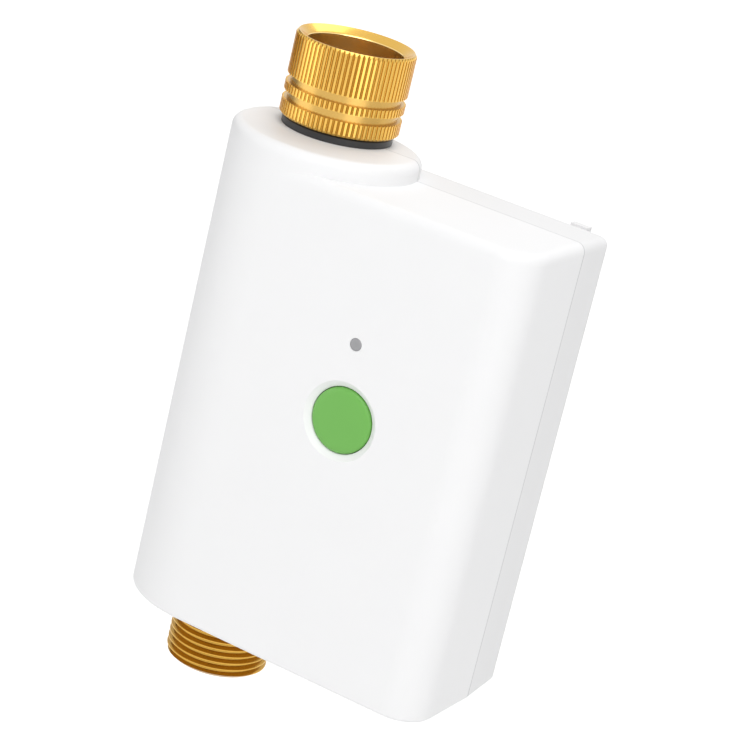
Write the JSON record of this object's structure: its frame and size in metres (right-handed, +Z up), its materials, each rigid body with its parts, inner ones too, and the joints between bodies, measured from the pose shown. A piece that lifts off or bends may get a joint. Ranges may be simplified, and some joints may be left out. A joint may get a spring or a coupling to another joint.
{
  "type": "smart water timer",
  "caption": "Hose-tap water timer: white two-part case round a motor-driven ball valve, knurled brass inlet nut, threaded outlet, green button and status light.",
  "frame": {"origin": "on the hose axis, at the first thread inside the inlet nut's mouth", "axes": "+Z up along the hose axis, out of the inlet; the front with the button faces -Y; +X to the battery side"},
  "size_m": [0.0942, 0.0461, 0.1669],
  "materials": {
    "white_case": "fine moulded texture",
    "black_collar": "satin",
    "gold_brass": "bright machined",
    "thread_brass": "machined, darker",
    "chrome_ball": "polished",
    "stainless": "satin",
    "black_rubber": "matt",
    "green_cap": "satin",
    "grey_light": "smoked",
    "white_ptfe": "waxy",
    "gear_acetal": "moulded",
    "grey_nylon": "glass filled",
    "green_board": "solder resist",
    "tin_plate": "nickel plated",
    "black_part": "moulded",
    "cell_wrap": "printed sleeve, left plain",
    "red_wire": "insulation",
    "black_wire": "insulation",
    "white_plug": "moulded"
  },
  "bodies": {
    "case": {"front_shell": "white_case", "rear_shell": "white_case", "case_seal": "black_rubber", "case_screws": "stainless", "inlet_washer": "black_rubber", "inlet_filter": "stainless", "inlet_collar": "black_collar", "inlet_tailpiece": "thread_brass", "outlet_tube": "thread_brass", "outlet_seal": "black_rubber", "valve_body": "thread_brass", "joint_o_rings": "black_rubber", "ball_seats": "white_ptfe", "gearbox_base": "grey_nylon", "gearbox_cover": "grey_nylon", "gearbox_base_screws": "stainless", "gearbox_cover_screws": "stainless", "compound_axle": "stainless", "motor_gear_head": "gold_brass", "motor_can": "tin_plate", "motor_screws": "stainless", "battery_tray": "white_case", "battery_cells": "cell_wrap", "battery_contacts": "tin_plate", "battery_springs": "tin_plate", "battery_door_seal": "black_rubber", "main_board": "green_board", "board_screws": "stainless", "switch_body": "black_part", "status_led": "white_plug", "light_pipe": "grey_light", "radio_module": "tin_plate", "buffer_capacitor": "black_part", "board_connectors": "white_plug", "motor_leads": "black_wire", "battery_leads": "red_wire"},
    "nut": {"inlet_nut": "gold_brass"},
    "button": {"button_cap": "green_cap", "button_seal": "black_rubber", "switch_plunger": "white_plug"},
    "valve": {"valve_ball": "chrome_ball", "valve_stem": "stainless", "stem_o_rings": "black_rubber", "output_gear": "gear_acetal"},
    "compound": {"compound_gear": "gear_acetal"},
    "pinion": {"motor_pinion": "gold_brass", "motor_shaft": "stainless"},
    "door": {"battery_door": "white_case"}
  },
  "joints": [
    {"name": "nut_spin", "type": "hinge", "parent": "case", "child": "nut", "pos_m": [0, 0, 0], "axis": [0, 0, 1], "continuous": true},
    {"name": "button_press", "type": "slide", "parent": "case", "child": "button", "axis": [0, 1, 0], "range_m": [0, 0.0006], "stiffness_N_per_m": 600},
    {"name": "valve_turn", "type": "hinge", "parent": "case", "child": "valve", "pos_m": [0.0165, 0, -0.0841], "axis": [1, 0, 0], "range_deg": [0, 90]},
    {"name": "compound_spin", "type": "hinge", "parent": "case", "child": "compound", "pos_m": [0.0165, -0.00495, -0.09771], "axis": [1, 0, 0], "range_deg": [-271, 1]},
    {"name": "pinion_spin", "type": "hinge", "parent": "case", "child": "pinion", "pos_m": [0.0165, -0.01099, -0.10817], "axis": [1, 0, 0], "range_deg": [-1, 812]},
    {"name": "door_pull", "type": "slide", "parent": "case", "child": "door", "axis": [0, 1, 0], "range_m": [0, 0.02]}
  ],
  "couplings": [
    {"joint": "compound_spin", "follows": "valve_turn", "ratio": -3},
    {"joint": "pinion_spin", "follows": "valve_turn", "ratio": 9}
  ]
}
